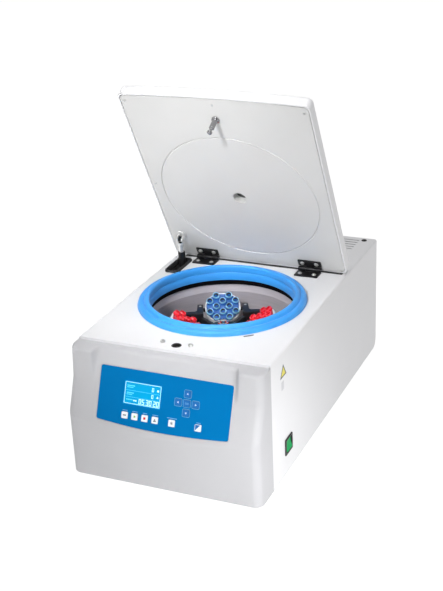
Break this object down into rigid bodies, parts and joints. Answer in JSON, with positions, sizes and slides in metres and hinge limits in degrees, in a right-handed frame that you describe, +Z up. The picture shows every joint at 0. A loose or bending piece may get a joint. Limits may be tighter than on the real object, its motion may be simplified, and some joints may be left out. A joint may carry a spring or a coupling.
{
  "type": "laboratory centrifuge",
  "caption": "Bench laboratory centrifuge: sheet-metal case with a keypad fascia, hinged lid on a gas spring, sealed bowl and a swing-out rotor with tube racks.",
  "frame": {"origin": "under the middle of the whole object, on the surface that its feet stand on", "axes": "+X to the right across the case, seen from the keypad; +Y from the keypad towards the rear; +Z up"},
  "size_m": [0.3736, 0.6924, 0.6632],
  "materials": {
    "white_paint": "semi-gloss powder coat",
    "lid_liner": "satin powder coat",
    "fascia_plastic": "fine satin moulding",
    "zinc_sheet": "galvanised sheet",
    "panel_blue": "printed membrane",
    "lcd_blue": "backlit display window",
    "board_green": "circuit board",
    "key_white": "embossed key",
    "key_blue": "embossed key",
    "gasket_blue": "satin silicone",
    "black_rubber": "matt rubber",
    "stainless_bowl": "satin stainless",
    "sight_glass": "dark clear plug",
    "chrome_steel": "polished",
    "black_steel": "black satin",
    "rotor_black": "black anodised",
    "bucket_white": "smooth moulding",
    "rack_blue": "smooth moulding",
    "rack_red": "smooth moulding",
    "motor_grey": "cast housing",
    "compressor_black": "gloss black enamel",
    "black_plastic": "fine satin moulding",
    "rocker_green": "translucent moulding"
  },
  "bodies": {
    "case": {"case_wrap": "white_paint", "front_fascia": "fascia_plastic", "rear_panel": "zinc_sheet", "base_plate": "zinc_sheet", "foot_front_left": "black_rubber", "foot_front_right": "black_rubber", "foot_rear_left": "black_rubber", "foot_rear_right": "black_rubber", "keypad_overlay": "panel_blue", "display_module": "lcd_blue", "keypad_board": "board_green", "chamber_gasket": "gasket_blue", "chamber_lip_ring": "black_rubber", "chamber_bowl": "stainless_bowl", "strut_grommet": "black_rubber", "strut_anchor": "black_steel", "hinge_deck_leaf_left": "black_steel", "hinge_deck_leaf_right": "black_steel", "hinge_pin_left": "chrome_steel", "hinge_pin_right": "chrome_steel", "latch_housing": "black_steel", "motor_body": "motor_grey", "power_switch_bezel": "black_plastic", "power_inlet": "black_plastic", "compressor": "compressor_black", "condenser": "zinc_sheet"},
    "lid": {"lid_shell": "white_paint", "lid_inner_plate": "lid_liner", "lid_sight_glass": "sight_glass", "lid_striker_pin": "chrome_steel", "strut_lid_bracket": "black_steel", "hinge_lid_leaf_left": "black_steel", "hinge_lid_leaf_right": "black_steel"},
    "strut_tube": {"gas_spring_cylinder": "black_steel"},
    "strut_rod": {"gas_spring_rod": "chrome_steel"},
    "rotor": {"rotor_yoke": "rotor_black", "rotor_nut": "chrome_steel", "motor_shaft": "chrome_steel"},
    "swing_rear": {"bucket_rear": "bucket_white", "tube_rack_rear": "rack_blue"},
    "swing_left": {"bucket_left": "bucket_white", "tube_rack_left": "rack_red"},
    "swing_front": {"bucket_front": "bucket_white", "tube_rack_front": "rack_blue"},
    "swing_right": {"bucket_right": "bucket_white", "tube_rack_right": "rack_red"},
    "hook": {"latch_hook": "chrome_steel"},
    "rocker": {"power_rocker": "rocker_green"},
    "fan": {"condenser_fan": "black_plastic"},
    "key_select_cap": {"key_select": "key_white"},
    "key_start_cap": {"key_start": "key_white"},
    "key_stop_cap": {"key_stop": "key_white"},
    "key_program_cap": {"key_program": "key_white"},
    "key_cooling_cap": {"key_cooling": "key_white"},
    "key_lid_cap": {"key_lid": "key_white"},
    "key_up_cap": {"key_up": "key_blue"},
    "key_left_cap": {"key_left": "key_blue"},
    "key_enter_cap": {"key_enter": "key_blue"},
    "key_right_cap": {"key_right": "key_blue"},
    "key_down_cap": {"key_down": "key_blue"}
  },
  "joints": [
    {"name": "lid_hinge", "type": "hinge", "parent": "case", "child": "lid", "pos_m": [-0.00184, 0.13571, 0.2615], "axis": [-1, 0, 0], "range_deg": [-61.8, 0], "stiffness_Nm_per_rad": 6, "springref_deg": 103.13},
    {"name": "strut_eye", "type": "hinge", "parent": "lid", "child": "strut_tube", "pos_m": [-0.15884, 0.10534, 0.30649], "axis": [1, 0, 0], "range_deg": [-49.8, 0]},
    {"name": "strut_slide", "type": "slide", "parent": "strut_tube", "child": "strut_rod", "axis": [0, 0.0656, -0.9978], "range_m": [-0.044, 0]},
    {"name": "rotor_spin", "type": "hinge", "parent": "case", "child": "rotor", "pos_m": [-0.00184, -0.04879, 0.1885], "axis": [0, 0, 1], "continuous": true},
    {"name": "swing_out_rear", "type": "hinge", "parent": "rotor", "child": "swing_rear", "pos_m": [-0.03214, 0.01927, 0.2045], "axis": [0.9135, 0.4067, 0], "range_deg": [-35, 55]},
    {"name": "swing_out_left", "type": "hinge", "parent": "rotor", "child": "swing_left", "pos_m": [-0.0699, -0.0791, 0.2045], "axis": [-0.4067, 0.9135, 0], "range_deg": [-35, 55]},
    {"name": "swing_out_front", "type": "hinge", "parent": "rotor", "child": "swing_front", "pos_m": [0.02846, -0.11685, 0.2045], "axis": [-0.9135, -0.4067, 0], "range_deg": [-35, 55]},
    {"name": "swing_out_right", "type": "hinge", "parent": "rotor", "child": "swing_right", "pos_m": [0.06622, -0.01849, 0.2045], "axis": [0.4067, -0.9135, 0], "range_deg": [-35, 55]},
    {"name": "hook_pivot", "type": "hinge", "parent": "case", "child": "hook", "pos_m": [-0.00184, -0.23729, 0.2157], "axis": [1, 0, 0], "range_deg": [0, 9], "stiffness_Nm_per_rad": 0.05, "springref_deg": -5.73},
    {"name": "rocker_pivot", "type": "hinge", "parent": "case", "child": "rocker", "pos_m": [0.17866, -0.19829, 0.0625], "axis": [0, 1, 0], "range_deg": [0, 20]},
    {"name": "fan_spin", "type": "hinge", "parent": "case", "child": "fan", "pos_m": [-0.04684, 0.31971, 0.1335], "axis": [0, 1, 0], "continuous": true},
    {"name": "key_select_press", "type": "slide", "parent": "case", "child": "key_select_cap", "axis": [0, 0.9285, -0.3714], "range_m": [0, 0.0004], "stiffness_N_per_m": 1500},
    {"name": "key_start_press", "type": "slide", "parent": "case", "child": "key_start_cap", "axis": [0, 0.9285, -0.3714], "range_m": [0, 0.0004], "stiffness_N_per_m": 1500},
    {"name": "key_stop_press", "type": "slide", "parent": "case", "child": "key_stop_cap", "axis": [0, 0.9285, -0.3714], "range_m": [0, 0.0004], "stiffness_N_per_m": 1500},
    {"name": "key_program_press", "type": "slide", "parent": "case", "child": "key_program_cap", "axis": [0, 0.9285, -0.3714], "range_m": [0, 0.0004], "stiffness_N_per_m": 1500},
    {"name": "key_cooling_press", "type": "slide", "parent": "case", "child": "key_cooling_cap", "axis": [0, 0.9285, -0.3714], "range_m": [0, 0.0004], "stiffness_N_per_m": 1500},
    {"name": "key_lid_press", "type": "slide", "parent": "case", "child": "key_lid_cap", "axis": [0, 0.9285, -0.3714], "range_m": [0, 0.0004], "stiffness_N_per_m": 1500},
    {"name": "key_up_press", "type": "slide", "parent": "case", "child": "key_up_cap", "axis": [0, 0.9285, -0.3714], "range_m": [0, 0.0004], "stiffness_N_per_m": 1500},
    {"name": "key_left_press", "type": "slide", "parent": "case", "child": "key_left_cap", "axis": [0, 0.9285, -0.3714], "range_m": [0, 0.0004], "stiffness_N_per_m": 1500},
    {"name": "key_enter_press", "type": "slide", "parent": "case", "child": "key_enter_cap", "axis": [0, 0.9285, -0.3714], "range_m": [0, 0.0004], "stiffness_N_per_m": 1500},
    {"name": "key_right_press", "type": "slide", "parent": "case", "child": "key_right_cap", "axis": [0, 0.9285, -0.3714], "range_m": [0, 0.0004], "stiffness_N_per_m": 1500},
    {"name": "key_down_press", "type": "slide", "parent": "case", "child": "key_down_cap", "axis": [0, 0.9285, -0.3714], "range_m": [0, 0.0004], "stiffness_N_per_m": 1500}
  ],
  "couplings": [
    {"joint": "strut_eye", "follows": "lid_hinge", "ratio": 0.8054},
    {"joint": "strut_slide", "follows": "lid_hinge", "m_per_rad": 0.040673}
  ]
}
